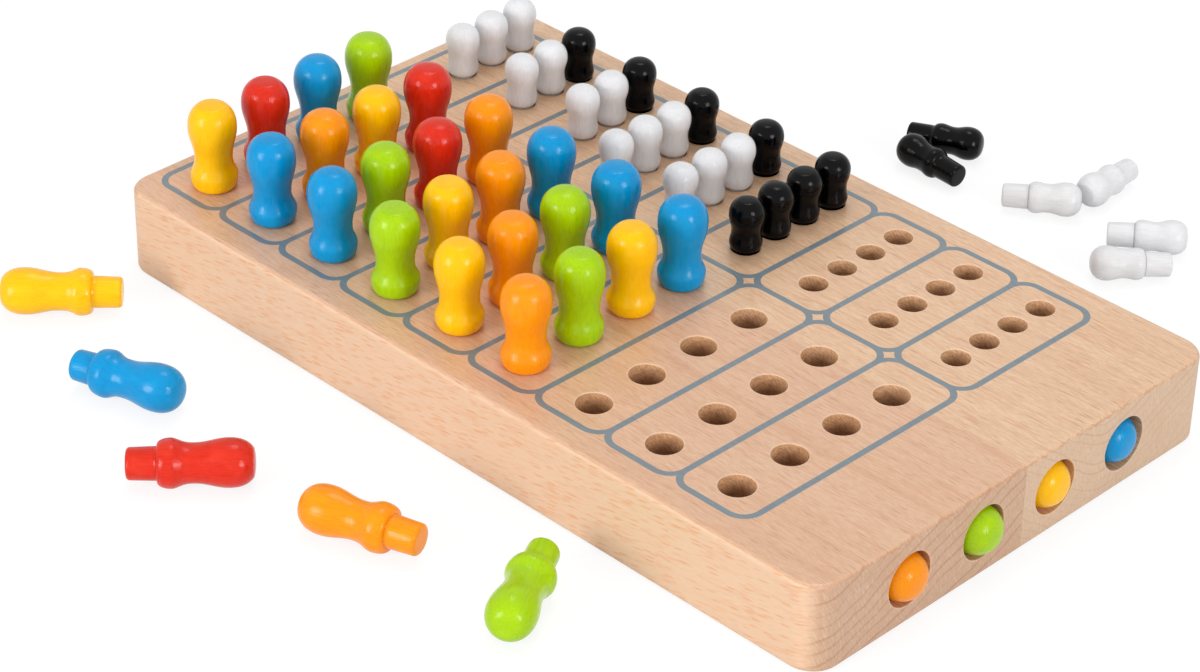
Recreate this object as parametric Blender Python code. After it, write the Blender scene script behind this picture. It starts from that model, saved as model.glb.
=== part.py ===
"""A code-breaking peg game: a drilled beech board, its guess pegs, its key pegs and the hidden code.

The board lies flat. Its underside is at z = 0, with the origin at the underside's centre. +X points at
the end that holds the hidden code, +Y points away from the player's side, and +Z is up. All lengths are
in metres.
"""

import math
from collections import namedtuple

import bmesh
import bpy
from mathutils import Matrix, Vector

# Fits
SEAT_GAP = 0.0003  # left where a peg's foot rests on wood
SHANK_CLEARANCE = 0.0004  # between a shank and the wall of its hole
SOCKET_SPARE_DEPTH = 0.0018  # under the end of a shank
HEAD_CLEARANCE = 0.00085  # between a hidden peg's head and the wall of its bore
CUT_OVERRUN = 0.002  # how far a drill starts outside the wood

# The turned pegs. Heights are shares of the body above the foot's underside, and the foot's rounding
# is a share of the shoulder around the shank.
PegSize = namedtuple(
    "PegSize",
    "body_height head_diameter waist_diameter shank_diameter shank_length shoulder_width shank_chamfer "
    "foot_height_share waist_height_share head_height_share foot_round_share crown_share sides",
)
GUESS_PEG = PegSize(
    body_height=0.027,
    head_diameter=0.0143,
    waist_diameter=0.0110,
    shank_diameter=0.0093,
    shank_length=0.0090,
    shoulder_width=0.0023,
    shank_chamfer=0.0008,
    foot_height_share=0.12,
    waist_height_share=0.36,
    head_height_share=0.70,
    foot_round_share=0.80,
    crown_share=0.42,
    sides=10,
)
KEY_PEG = PegSize(
    body_height=0.016,
    head_diameter=0.0105,
    waist_diameter=0.0088,
    shank_diameter=0.0075,
    shank_length=0.0082,
    shoulder_width=0.0011,
    shank_chamfer=0.0006,
    foot_height_share=0.14,
    waist_height_share=0.38,
    head_height_share=0.68,
    foot_round_share=0.80,
    crown_share=0.48,
    sides=8,
)

# The pattern of holes, from the pegs that stand side by side in it
ROWS = 9
COLUMNS = 4
GUESS_PEG_GAP = 0.0057
KEY_PEG_GAP = 0.0015
ROW_GAP = 0.0116
AREA_GAP = 0.0263  # from the last guess column to the first key column
FRONT_MARGIN = 0.01955  # from the player's long side to the first guess column
FAR_MARGIN = 0.01765  # from the last key column to the far long side
BACK_MARGIN = 0.01855  # from the ninth row to the plain end
WEB_BEHIND_CODE = 0.0048  # wood between the hidden pegs' sockets and the first row's holes

# The four bores for the hidden code
WOOD_OVER_CODE = 0.0052
WOOD_UNDER_CODE = 0.0058
CODE_WEB = 0.0131  # wood between two bores
FIRST_CODE_BORE = 0.03525  # from the player's long side to the first bore's axis
CODE_STAND_OUTS = (0.0037, 0.0043, 0.0028, 0.0022)  # how far each hidden peg's head stands out

# The board's own roundings
CORNER_RADIUS = 0.0085
EDGE_RADIUS = 0.0015
CORNER_SEGMENTS = 5
EDGE_SEGMENTS = 2


def foot_diameter(size):
    """The widest ring of a peg's foot: its shank with the shoulder on both sides."""
    return size.shank_diameter + 2 * size.shoulder_width


def widest(size):
    """The larger of a peg's head and foot, which sets how close two pegs can stand."""
    return max(size.head_diameter, foot_diameter(size))


def socket_depth(size):
    """The depth of a hole that takes a whole shank."""
    return size.shank_length + SOCKET_SPARE_DEPTH


GUESS_PITCH = widest(GUESS_PEG) + GUESS_PEG_GAP
KEY_PITCH = widest(KEY_PEG) + KEY_PEG_GAP
ROW_PITCH = widest(GUESS_PEG) + ROW_GAP
CODE_BORE_DIAMETER = widest(GUESS_PEG) + 2 * HEAD_CLEARANCE
CODE_BORE_DEPTH = GUESS_PEG.body_height - min(CODE_STAND_OUTS) + SEAT_GAP
CODE_PITCH = CODE_BORE_DIAMETER + CODE_WEB
GUESS_HOLE_RADIUS = GUESS_PEG.shank_diameter / 2 + SHANK_CLEARANCE
KEY_HOLE_RADIUS = KEY_PEG.shank_diameter / 2 + SHANK_CLEARANCE
CODE_SOCKET_END = CODE_BORE_DEPTH + socket_depth(GUESS_PEG)
CODE_MARGIN = CODE_SOCKET_END + WEB_BEHIND_CODE + GUESS_HOLE_RADIUS

BOARD_LENGTH = CODE_MARGIN + (ROWS - 1) * ROW_PITCH + BACK_MARGIN
BOARD_WIDTH = FRONT_MARGIN + (COLUMNS - 1) * (GUESS_PITCH + KEY_PITCH) + AREA_GAP + FAR_MARGIN
BOARD_THICKNESS = WOOD_UNDER_CODE + CODE_BORE_DIAMETER + WOOD_OVER_CODE
CODE_HEIGHT = WOOD_UNDER_CODE + CODE_BORE_DIAMETER / 2

# What stands in each row, from the code's end (row 1) to the plain end (row 9), and from the player's
# side to the far side. A row that isn't listed is empty, and a None is an empty hole.
GUESS_ROWS = {
    4: ("orange", "green", "yellow", "blue"),
    5: ("yellow", "orange", "green", "blue"),
    6: ("green", "yellow", "orange", "blue"),
    7: ("blue", "green", "red", "orange"),
    8: ("blue", "orange", "yellow", "red"),
    9: ("yellow", "red", "blue", "green"),
}
KEY_ROWS = {
    4: ("black", "black", "black", "black"),
    5: ("white", "white", "white", "black"),
    6: ("white", "white", "white", "black"),
    7: (None, "white", "white", "black"),
    8: (None, "white", "white", "black"),
    9: (None, "white", "white", "white"),
}
HIDDEN_CODE = ("orange", "green", "yellow", "blue")

# Spare pegs that lie on the table. Each has the place of its head's centre, as a share of half the
# board's length and as a number of head diameters out from the board's long side, and the direction in
# degrees in which its head points.
SpareShares = namedtuple("SpareShares", "name colour along_share heads_out_share heading")
SPARE_GUESS_SHARES = (
    SpareShares("yellow", "yellow", -0.993, 2.58, -133.9),
    SpareShares("blue", "blue", -0.518, 2.87, 19.3),
    SpareShares("red", "red", -0.216, 3.49, 46.6),
    SpareShares("orange", "orange", 0.037, 3.17, -161.2),
    SpareShares("green", "green", 0.515, 2.84, -61.1),
)
SPARE_KEY_SHARES = (
    SpareShares("black_front", "black", -0.108, 5.00, 176.9),
    SpareShares("white_left", "white", 0.267, 6.05, 33.4),
    SpareShares("white_right", "white", 0.529, 6.60, 36.0),
)

# Two spare key pegs lie against another. Each has its head's centre off its neighbour's by half a head,
# its own crown and a gap, in a direction given in degrees.
BLACK_PAIR_GAP = 0.0074
WHITE_PAIR_GAP = 0.0008
Beside = namedtuple("Beside", "name colour neighbour gap direction heading")
SPARES_BESIDE = (
    Beside("black_back", "black", "black_front", BLACK_PAIR_GAP, 61.0, 21.2),
    Beside("white_back", "white", "white_left", WHITE_PAIR_GAP, 78.7, -86.7),
)

COLOURS = {
    "orange": (0.95, 0.27, 0.01, 1.0),
    "green": (0.30, 0.62, 0.01, 1.0),
    "yellow": (0.95, 0.52, 0.0, 1.0),
    "blue": (0.0, 0.22, 0.58, 1.0),
    "red": (0.55, 0.02, 0.01, 1.0),
    "white": (0.80, 0.78, 0.76, 1.0),
    "black": (0.01, 0.01, 0.01, 1.0),
}
BEECH = (0.75, 0.48, 0.30, 1.0)

SMOOTH_ANGLE = math.radians(50)
MERGE_DISTANCE = 0.000001


def clear_scene():
    """Removes whatever the scene holds before the model is built."""
    for obj in list(bpy.data.objects):
        bpy.data.objects.remove(obj, do_unlink=True)


def material(name, colour, roughness):
    """A plain finish: wood or lacquer, never metal."""
    made = bpy.data.materials.new(name)
    made.use_nodes = True
    shader = made.node_tree.nodes["Principled BSDF"]
    shader.inputs["Base Color"].default_value = colour
    shader.inputs["Roughness"].default_value = roughness
    shader.inputs["Metallic"].default_value = 0.0
    made.diffuse_color = colour
    return made


def place(name, mesh, matrix=None, parent=None):
    """A named object for a mesh, in the scene and under its parent."""
    obj = bpy.data.objects.new(name, mesh)
    bpy.context.scene.collection.objects.link(obj)
    obj.parent = parent
    if matrix is not None:
        obj.matrix_world = matrix
    return obj


def turn(bm, profile, sides, matrix):
    """Adds a solid turned about a local Z axis. The profile's points are (radius, height), and its ends
    lie on the axis."""
    line = [bm.verts.new((radius, 0, height)) for radius, height in profile]
    line += [bm.edges.new(pair) for pair in zip(line, line[1:])]
    bmesh.ops.spin(
        bm, geom=line, cent=(0, 0, 0), axis=(0, 0, 1), angle=2 * math.pi, steps=sides, use_merge=True
    )
    fresh = [vert for vert in bm.verts if not vert.tag]
    bmesh.ops.remove_doubles(bm, verts=fresh, dist=MERGE_DISTANCE)
    fresh = [vert for vert in bm.verts if not vert.tag]
    bmesh.ops.transform(bm, matrix=matrix, verts=fresh)
    for vert in fresh:
        vert.tag = True


def finish(bm, name, smooth):
    """Turns a bmesh into a mesh with its faces outwards and, if asked, smooth round surfaces."""
    bmesh.ops.recalc_face_normals(bm, faces=bm.faces)
    mesh = bpy.data.meshes.new(name)
    bm.to_mesh(mesh)
    bm.free()
    if smooth:
        mesh.shade_smooth()
        mesh.set_sharp_from_angle(angle=SMOOTH_ANGLE)
    return mesh


def ease(start, end, share):
    """A value on the soft curve from start to end that leaves and arrives level."""
    return start + (end - start) * (1 - math.cos(math.pi * share)) / 2


def peg_profile(size):
    """The outline of a turned peg: chamfered shank, rounded foot, waist, and a round head with a small
    flat crown where it was cut off."""
    shank = size.shank_diameter / 2
    foot = foot_diameter(size) / 2
    waist = size.waist_diameter / 2
    head = size.head_diameter / 2
    foot_at = size.body_height * size.foot_height_share
    waist_at = size.body_height * size.waist_height_share
    head_at = size.body_height * size.head_height_share
    rounding = size.shoulder_width * size.foot_round_share
    half_share = 0.5
    points = [
        (0, -size.shank_length),
        (shank - size.shank_chamfer, -size.shank_length),
        (shank, -size.shank_length + size.shank_chamfer),
        (shank, 0),
        (foot - rounding, 0),
        (foot, foot_at),
        (ease(foot, waist, half_share), (foot_at + waist_at) / 2),
        (waist, waist_at),
        (ease(waist, head, half_share), (waist_at + head_at) / 2),
        (head, head_at),
    ]
    crown_angle = math.acos(size.crown_share)
    for step_share in (0.5, 1.0):
        angle = crown_angle * step_share
        height_share = math.sin(angle) / math.sin(crown_angle)
        points.append((head * math.cos(angle), head_at + (size.body_height - head_at) * height_share))
    points.append((0, size.body_height))
    return points


def peg_mesh(name, size, finish_material):
    """One turned peg. Its origin is on its axis, at the foot's underside, and its head is up."""
    bm = bmesh.new()
    turn(bm, peg_profile(size), size.sides, Matrix.Identity(4))
    mesh = finish(bm, name, smooth=True)
    mesh.materials.append(finish_material)
    return mesh


def row_x(row):
    """The X of a row of holes. Row 1 is the nearest to the hidden code."""
    return BOARD_LENGTH / 2 - CODE_MARGIN - (row - 1) * ROW_PITCH


def guess_y(column):
    """The Y of a guess column, counted from the player's side."""
    return -BOARD_WIDTH / 2 + FRONT_MARGIN + column * GUESS_PITCH


def key_y(column):
    """The Y of a key column, counted from the player's side."""
    return guess_y(COLUMNS - 1) + AREA_GAP + column * KEY_PITCH


def code_y(column):
    """The Y of a hidden peg's bore, counted from the player's side."""
    return -BOARD_WIDTH / 2 + FIRST_CODE_BORE + column * CODE_PITCH


def hole_profile(radius, depth):
    """A blind hole, drilled down from z = 0."""
    return [(0, -depth), (radius, -depth), (radius, CUT_OVERRUN), (0, CUT_OVERRUN)]


def code_bore_profile():
    """A stepped bore along Z: wide for the body of a peg, then narrow for its shank."""
    wide = CODE_BORE_DIAMETER / 2
    return [
        (0, -CODE_SOCKET_END),
        (GUESS_HOLE_RADIUS, -CODE_SOCKET_END),
        (GUESS_HOLE_RADIUS, -CODE_BORE_DEPTH),
        (wide, -CODE_BORE_DEPTH),
        (wide, CUT_OVERRUN),
        (0, CUT_OVERRUN),
    ]


def out_of_the_end(x, y):
    """The frame of a hidden peg or its bore: local +Z points out of the board's end."""
    return Matrix.Translation((x, y, CODE_HEIGHT)) @ Matrix.Rotation(math.pi / 2, 4, "Y")


def drill_cutter():
    """Every hole of the board as one hidden cutter of separate drills."""
    bm = bmesh.new()
    for row in range(1, ROWS + 1):
        for column in range(COLUMNS):
            guess_at = Matrix.Translation((row_x(row), guess_y(column), BOARD_THICKNESS))
            turn(bm, hole_profile(GUESS_HOLE_RADIUS, socket_depth(GUESS_PEG)), GUESS_PEG.sides, guess_at)
            key_at = Matrix.Translation((row_x(row), key_y(column), BOARD_THICKNESS))
            turn(bm, hole_profile(KEY_HOLE_RADIUS, socket_depth(KEY_PEG)), KEY_PEG.sides, key_at)
    for column in range(COLUMNS):
        bore_at = out_of_the_end(BOARD_LENGTH / 2, code_y(column))
        turn(bm, code_bore_profile(), GUESS_PEG.sides, bore_at)
    cutter = place("drills", finish(bm, "drills", smooth=False))
    cutter.hide_render = True
    cutter.hide_viewport = False
    cutter.display_type = "WIRE"
    return cutter


def board():
    """The beech panel: a slab with round corners and eased edges, drilled from the top and the end."""
    bm = bmesh.new()
    bmesh.ops.create_cube(bm, size=1)
    bmesh.ops.scale(bm, vec=(BOARD_LENGTH, BOARD_WIDTH, BOARD_THICKNESS), verts=bm.verts)
    bmesh.ops.translate(bm, vec=(0, 0, BOARD_THICKNESS / 2), verts=bm.verts)
    upright = [edge for edge in bm.edges if abs((edge.verts[0].co - edge.verts[1].co).z) > EDGE_RADIUS]
    bmesh.ops.bevel(
        bm, geom=upright, offset=CORNER_RADIUS, segments=CORNER_SEGMENTS, profile=0.5, affect="EDGES"
    )
    rims = [edge for edge in bm.edges if abs((edge.verts[0].co - edge.verts[1].co).z) < EDGE_RADIUS]
    bmesh.ops.bevel(bm, geom=rims, offset=EDGE_RADIUS, segments=EDGE_SEGMENTS, profile=0.5, affect="EDGES")
    mesh = finish(bm, "peg_board", smooth=True)
    mesh.materials.append(material("beech", BEECH, 0.45))
    made = place("peg_board", mesh)
    drilled = made.modifiers.new("drilled", "BOOLEAN")
    drilled.operation = "DIFFERENCE"
    drilled.solver = "EXACT"
    drilled.object = drill_cutter()
    return made


def lying(size, head_x, head_y, heading):
    """The frame of a peg that lies on the table on its head and its foot, with its head's centre at the
    given place and its head pointing along the heading."""
    head_at = size.body_height * size.head_height_share
    foot_at = size.body_height * size.foot_height_share
    head = size.head_diameter / 2
    foot = foot_diameter(size) / 2
    tilt = math.atan2(head - foot, head_at - foot_at)
    turned = Matrix.Rotation(math.radians(heading), 4, "Z") @ Matrix.Rotation(math.pi / 2 - tilt, 4, "Y")
    lowest = min((turned @ Vector((side * head, 0, head_at))).z for side in (-1, 1))
    centre = turned @ Vector((0, 0, head_at))
    return Matrix.Translation((head_x - centre.x, head_y - centre.y, -lowest)) @ turned


def build():
    """Builds the board and every peg in, on and beside it."""
    clear_scene()
    panel = board()
    lacquers = {name: material(name + "_lacquer", colour, 0.25) for name, colour in COLOURS.items()}
    guess = {
        name: peg_mesh("guess_peg_" + name, GUESS_PEG, lacquers[name])
        for name in ("orange", "green", "yellow", "blue", "red")
    }
    key = {name: peg_mesh("key_peg_" + name, KEY_PEG, lacquers[name]) for name in ("white", "black")}
    seat = BOARD_THICKNESS + SEAT_GAP
    for row, colours in GUESS_ROWS.items():
        for column, colour in enumerate(colours):
            at = Matrix.Translation((row_x(row), guess_y(column), seat))
            place(f"guess_peg_row{row}_{column + 1}_{colour}", guess[colour], at, panel)
    for row, colours in KEY_ROWS.items():
        for column, colour in enumerate(colours):
            if colour:
                at = Matrix.Translation((row_x(row), key_y(column), seat))
                place(f"key_peg_row{row}_{column + 1}_{colour}", key[colour], at, panel)
    for column, colour in enumerate(HIDDEN_CODE):
        foot_x = BOARD_LENGTH / 2 + CODE_STAND_OUTS[column] - GUESS_PEG.body_height
        at = out_of_the_end(foot_x, code_y(column))
        place(f"code_peg_{column + 1}_{colour}", guess[colour], at, panel)
    for spare in SPARE_GUESS_SHARES:
        head_x = spare.along_share * BOARD_LENGTH / 2
        head_y = -BOARD_WIDTH / 2 - spare.heads_out_share * GUESS_PEG.head_diameter
        at = lying(GUESS_PEG, head_x, head_y, spare.heading)
        place("spare_guess_peg_" + spare.name, guess[spare.colour], at)
    heads = {}
    for spare in SPARE_KEY_SHARES:
        head_x = spare.along_share * BOARD_LENGTH / 2
        head_y = BOARD_WIDTH / 2 + spare.heads_out_share * KEY_PEG.head_diameter
        heads[spare.name] = (head_x, head_y)
        at = lying(KEY_PEG, head_x, head_y, spare.heading)
        place("spare_key_peg_" + spare.name, key[spare.colour], at)
    for spare in SPARES_BESIDE:
        crown = KEY_PEG.body_height * (1 - KEY_PEG.head_height_share)
        distance = KEY_PEG.head_diameter / 2 + crown + spare.gap
        direction = math.radians(spare.direction)
        head_x = heads[spare.neighbour][0] + distance * math.cos(direction)
        head_y = heads[spare.neighbour][1] + distance * math.sin(direction)
        at = lying(KEY_PEG, head_x, head_y, spare.heading)
        place("spare_key_peg_" + spare.name, key[spare.colour], at)


build()
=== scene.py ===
import collections
import math

import bmesh
import bpy
import numpy as np
from mathutils import Matrix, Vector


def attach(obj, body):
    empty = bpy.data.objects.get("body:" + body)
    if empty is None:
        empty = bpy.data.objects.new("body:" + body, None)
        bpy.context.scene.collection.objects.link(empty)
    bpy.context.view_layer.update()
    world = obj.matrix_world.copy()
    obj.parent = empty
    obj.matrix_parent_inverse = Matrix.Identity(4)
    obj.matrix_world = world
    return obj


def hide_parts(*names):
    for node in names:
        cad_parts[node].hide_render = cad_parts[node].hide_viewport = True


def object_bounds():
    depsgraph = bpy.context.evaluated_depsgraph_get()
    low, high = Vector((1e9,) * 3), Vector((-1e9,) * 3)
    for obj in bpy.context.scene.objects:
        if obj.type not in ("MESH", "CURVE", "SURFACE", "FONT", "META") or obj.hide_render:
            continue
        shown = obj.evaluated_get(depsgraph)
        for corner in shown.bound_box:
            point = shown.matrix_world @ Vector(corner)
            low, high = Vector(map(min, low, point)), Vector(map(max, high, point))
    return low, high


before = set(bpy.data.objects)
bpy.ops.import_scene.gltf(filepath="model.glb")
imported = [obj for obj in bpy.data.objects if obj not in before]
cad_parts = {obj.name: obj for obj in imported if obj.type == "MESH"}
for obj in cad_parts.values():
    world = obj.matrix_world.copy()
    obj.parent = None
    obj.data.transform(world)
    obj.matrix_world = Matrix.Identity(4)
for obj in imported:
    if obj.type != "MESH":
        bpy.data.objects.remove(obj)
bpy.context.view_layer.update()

# The camera
# It looks down on the corner between the board's long side and the end with the code, through a long
# lens. Its place and turn were solved from the board's edges and the grid of holes.
camera_place = np.array([0.58257, -0.61510, 0.55339])
camera_right = np.array([0.70697, 0.70703, 0.01721])
camera_up = np.array([-0.39563, 0.37519, 0.83828])
camera_back = np.cross(camera_right, camera_up)
camera = bpy.data.objects.new("camera", bpy.data.cameras.new("camera"))
camera.data.sensor_width = 36
camera.data.lens = 106.72
camera.data.clip_start = 0.01
camera_frame = np.eye(4)
camera_frame[:3, :3] = np.column_stack([camera_right, camera_up, camera_back])
camera_frame[:3, 3] = camera_place
camera.matrix_world = Matrix(camera_frame.tolist())
bpy.context.scene.collection.objects.link(camera)
bpy.context.scene.camera = camera

# The table
# A sheet of matt white card. What the camera and the gloss see of it glows up to plain white for the
# glow's share, and the rest is the card itself, which keeps the soft shadows under the board and the pegs.


def linear(hex_colour):
    """An sRGB hex colour as linear red, green, blue and alpha."""
    srgb = np.array([int(hex_colour[at : at + 2], 16) for at in (1, 3, 5)]) / 255
    light = np.where(srgb <= 0.04045, srgb / 12.92, ((srgb + 0.055) / 1.055) ** 2.4)
    return (*light.tolist(), 1.0)


def new_material(name):
    """An empty material with its output, as the tree and the output node."""
    material = bpy.data.materials.new(name)
    material.use_nodes = True
    material.node_tree.nodes.clear()
    return material, material.node_tree, material.node_tree.nodes.new("ShaderNodeOutputMaterial")


def add(tree, kind, settings=None, inputs=None):
    """Adds a node. Each input takes another node's socket or a plain value."""
    made = tree.nodes.new(kind)
    for key, value in (settings or {}).items():
        setattr(made, key, value)
    for key, value in (inputs or {}).items():
        if isinstance(value, bpy.types.NodeSocket):
            tree.links.new(value, made.inputs[key])
        else:
            made.inputs[key].default_value = value
    return made


table_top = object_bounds()[0][2]
table = bpy.data.meshes.new("table")
table_half = 3.0
table.from_pydata(
    [(x * table_half, y * table_half, table_top) for x, y in ((-1, -1), (1, -1), (1, 1), (-1, 1))],
    [],
    [(0, 1, 2, 3)],
)
table_piece = bpy.data.objects.new("table", table)
bpy.context.scene.collection.objects.link(table_piece)
card, tree, output = new_material("white_card")
ray = add(tree, "ShaderNodeLightPath")
matt = add(tree, "ShaderNodeBsdfDiffuse", inputs={"Color": linear("#D6D6D6")})
glow = add(tree, "ShaderNodeEmission", inputs={"Color": (1, 1, 1, 1), "Strength": 1.18})
seen = add(
    tree,
    "ShaderNodeMath",
    {"operation": "ADD"},
    {0: ray.outputs["Is Camera Ray"], 1: ray.outputs["Is Glossy Ray"]},
)
glow_share = 0.70
seen = add(tree, "ShaderNodeMath", {"operation": "MULTIPLY"}, {0: seen.outputs[0], 1: glow_share})
mixed = add(
    tree,
    "ShaderNodeMixShader",
    inputs={0: seen.outputs[0], 1: matt.outputs[0], 2: glow.outputs[0]},
)
tree.links.new(mixed.outputs[0], output.inputs["Surface"])
table.materials.append(card)

# The light
# Two soft boxes stand low on the left and the right and a small one hangs over the table. They make the
# windows that each peg shows on its head and its foot. Two wide lamps fill the shadows without a
# reflection of their own, and a plain white room lies all round.
world = bpy.data.worlds.new("white_room")
world.use_nodes = True
bpy.context.scene.world = world
world_tree = world.node_tree
world_tree.nodes.clear()
world_ray = add(world_tree, "ShaderNodeLightPath")
room_light = add(world_tree, "ShaderNodeBackground", inputs={"Color": (1, 1, 1, 1), "Strength": 0.5})
room_seen = add(world_tree, "ShaderNodeBackground", inputs={"Color": (1, 1, 1, 1), "Strength": 1.0})
seen = add(
    world_tree,
    "ShaderNodeMath",
    {"operation": "ADD"},
    {0: world_ray.outputs["Is Camera Ray"], 1: world_ray.outputs["Is Glossy Ray"]},
)
room = add(
    world_tree,
    "ShaderNodeMixShader",
    inputs={0: seen.outputs[0], 1: room_light.outputs[0], 2: room_seen.outputs[0]},
)
add(world_tree, "ShaderNodeOutputWorld", inputs={"Surface": room.outputs[0]})

# Each lamp as the direction in which it stands, its width and height and its distance from the middle of
# the table in metres, and its watts. It looks back at the middle.
for name, facing, width, height, away, watts in (
    ("soft_box_left", (-0.110, -0.945, 0.310), 0.82, 1.15, 2.34, 27.0),
    ("soft_box_right", (0.906, -0.110, 0.335), 0.58, 0.88, 2.34, 19.5),
    ("soft_box_above", (-0.221, 0.325, 0.925), 0.60, 0.60, 2.2, 6.0),
    ("fill_from_above", (-0.10, 0.15, 0.98), 1.6, 1.6, 2.2, 9.5),
    ("fill_by_the_camera", (0.62, -0.64, 0.45), 1.9, 1.6, 2.4, 7.0),
):
    lamp = bpy.data.lights.new(name, "AREA")
    lamp.shape = "RECTANGLE"
    lamp.size = width
    lamp.size_y = height
    lamp.energy = watts
    facing = np.array(facing) / np.linalg.norm(facing)
    across = np.cross((0, 0, 1), facing)
    across /= np.linalg.norm(across)
    lamp_frame = np.eye(4)
    lamp_frame[:3, :3] = np.column_stack([across, np.cross(facing, across), facing])
    lamp_frame[:3, 3] = away * facing
    lamp_piece = bpy.data.objects.new(name, lamp)
    lamp_piece.matrix_world = Matrix(lamp_frame.tolist())
    lamp_piece.visible_glossy = name.startswith("soft_box")
    bpy.context.scene.collection.objects.link(lamp_piece)

bpy.context.scene.view_settings.view_transform = "Standard"

# The board
# A thick beech panel of two glued staves, with round corners and sanded edges, drilled from above and
# from one end. It is varnished with a satin lacquer over a printed grid, and the drilled walls are bare.
mm = 0.001
board_length = 271.5 * mm
board_width = 159.5 * mm
board_thickness = 27.0 * mm
corner_radius = 8.5 * mm
edge_radius = 1.5 * mm
row_pitch = 25.9 * mm
row_x = 90.0 * mm - row_pitch * np.arange(9)
guess_y = np.array([-60.2, -40.2, -20.2, -0.2]) * mm
key_y = np.array([26.1, 38.1, 50.1, 62.1]) * mm
code_y = np.array([-44.5, -15.4, 13.7, 42.8]) * mm
code_z = 13.8 * mm
guess_pitch = 20.0 * mm
key_pitch = 12.0 * mm
bore_pitch = 29.1 * mm
# Holes, bores and sockets, each as its radius and its depth from the surface
guess_hole = (5.05 * mm, 10.8 * mm)
key_hole = (4.15 * mm, 10.0 * mm)
code_bore = (8.0 * mm, 25.1 * mm)
code_socket = (5.05 * mm, 35.9 * mm)
rim_radius = 0.25 * mm
rim_steps = 4
line_step = 1.75 * mm
weld_distance = 0.002 * mm

inner_x = board_length / 2 - corner_radius
inner_y = board_width / 2 - corner_radius


def divide(stops, step):
    """Sorted numbers through all the stops, with evenly spaced ones between, at most a step apart."""
    stops = np.unique(np.round(stops, 8))
    spans = [
        np.linspace(low, high, int(np.ceil((high - low) / step - 1e-6)), endpoint=False)
        for low, high in zip(stops, stops[1:])
    ]
    return np.append(np.concatenate(spans), stops[-1])


def within(lines, low, high):
    """The lines from low to high."""
    return lines[(lines > low - 1e-7) & (lines < high + 1e-7)]


def rounding(radius, steps):
    """A quarter circle as (distance in from the edge, depth below the face), from the face round to the
    wall: in = radius (1 - sin a), down = radius (1 - cos a)."""
    turn = np.linspace(0, math.pi / 2, steps + 1)
    return np.column_stack([radius * (1 - np.sin(turn)), radius * (1 - np.cos(turn))])


def drilled_cell(u, v, centre, stages):
    """The face of one cell round a drilled hole, and the hole. The cell's outline runs through the lines
    u and v. Ring by ring it closes in on the rim: a point of a ring is the outline's point moved
    towards the circle's, whose angle goes up with the length along the outline. The rim is a small
    quarter circle, and each stage, a radius and a depth, adds a wall and a step. Gives the rings as
    (ring, point, (u, v, depth)) and the number of the first ring in the wall."""
    outline = np.concatenate([
        np.column_stack([u[:-1], np.full(len(u) - 1, v[0])]),
        np.column_stack([np.full(len(v) - 1, u[-1]), v[:-1]]),
        np.column_stack([u[:0:-1], np.full(len(u) - 1, v[-1])]),
        np.column_stack([np.full(len(v) - 1, u[0]), v[:0:-1]]),
    ])
    sides = np.linalg.norm(np.roll(outline, -1, 0) - outline, axis=1)
    along = np.concatenate([[0], np.cumsum(sides)[:-1]]) / sides.sum()
    start = math.atan2(outline[0, 1] - centre[1], outline[0, 0] - centre[0])
    angle = start + 2 * math.pi * along
    circle = np.column_stack([np.cos(angle), np.sin(angle)])
    radius = stages[0][0]
    rings = []
    for share in (0, 0.4, 0.75):
        near = np.asarray(centre) + (radius + 2 * rim_radius) * circle
        rings.append(np.column_stack([outline + (near - outline) * share, np.zeros(len(outline))]))
    walls = [(radius + 2 * rim_radius, 0)]
    walls += [(radius + inwards, down) for inwards, down in rounding(rim_radius, rim_steps)]
    first_wall = len(rings) + len(walls) - 1
    last_depth = rim_radius
    for stage_radius, depth in stages:
        walls += [(stage_radius, last_depth)] if stage_radius < radius else []
        walls += [(stage_radius, last_depth + (depth - last_depth) * share) for share in (0.33, 0.67, 1)]
        last_depth = depth
    walls += [(stages[-1][0] * 0.5, last_depth), (0, last_depth)]
    for ring_radius, depth in walls:
        points = np.asarray(centre) + ring_radius * circle
        rings.append(np.column_stack([points, np.full(len(outline), depth)]))
    return np.array(rings), first_wall


def ring_faces(rings, points, start, closed=True):
    """The squares between neighbouring rings of a grid of points numbered from start."""
    number = start + np.arange(rings * points).reshape(rings, points)
    if closed:
        number = np.column_stack([number, number[:, 0]])
    low, high = number[:-1], number[1:]
    return np.stack([low[:, :-1], low[:, 1:], high[:, 1:], high[:, :-1]], -1)


# The cells meet midway between neighbouring holes
row_stops = np.append(row_x + row_pitch / 2, row_x[-1] - row_pitch / 2)
x_stops = np.sort(np.concatenate([[-inner_x], row_stops[:-1], [inner_x]]))
guess_stops = np.append(-inner_y, guess_y + guess_pitch / 2)
key_stops = np.append(key_y - key_pitch / 2, inner_y)
bore_stops = np.append(code_y - bore_pitch / 2, code_y[-1] + bore_pitch / 2)
x_lines = divide(x_stops, line_step)
y_lines = divide(np.concatenate([guess_stops, key_stops, bore_stops]), line_step)
z_lines = divide([edge_radius, board_thickness - edge_radius], line_step)

points, faces, bare, rims = [], [], [], []
count = 0


def gather(grid, squares, bare_from=None):
    """Keeps a grid's points and faces. Faces from the ring bare_from on are bare drilled wood, and the
    points of the rings before it that lie close round the hole are marked as its rim, which gets a
    painted highlight."""
    global count
    points.append(grid.reshape(-1, 3))
    faces.append(squares.reshape(-1, 4))
    marks = np.zeros(squares.shape[:2], bool)
    rim = np.zeros(grid.shape[:2])
    if bare_from is not None:
        marks[bare_from:] = True
        rim[bare_from - rim_steps : bare_from + 1] = 1
    bare.append(marks.ravel())
    rims.append(rim.ravel())
    count += grid.reshape(-1, 3).shape[0]


def plain_cell(u, v, place):
    """A flat cell: the crossings of its lines u and v, at depth 0."""
    grid = place(np.stack([*np.meshgrid(u, v), np.zeros((len(v), len(u)))], -1))
    gather(grid, ring_faces(len(v), len(u), count, closed=False))


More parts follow.
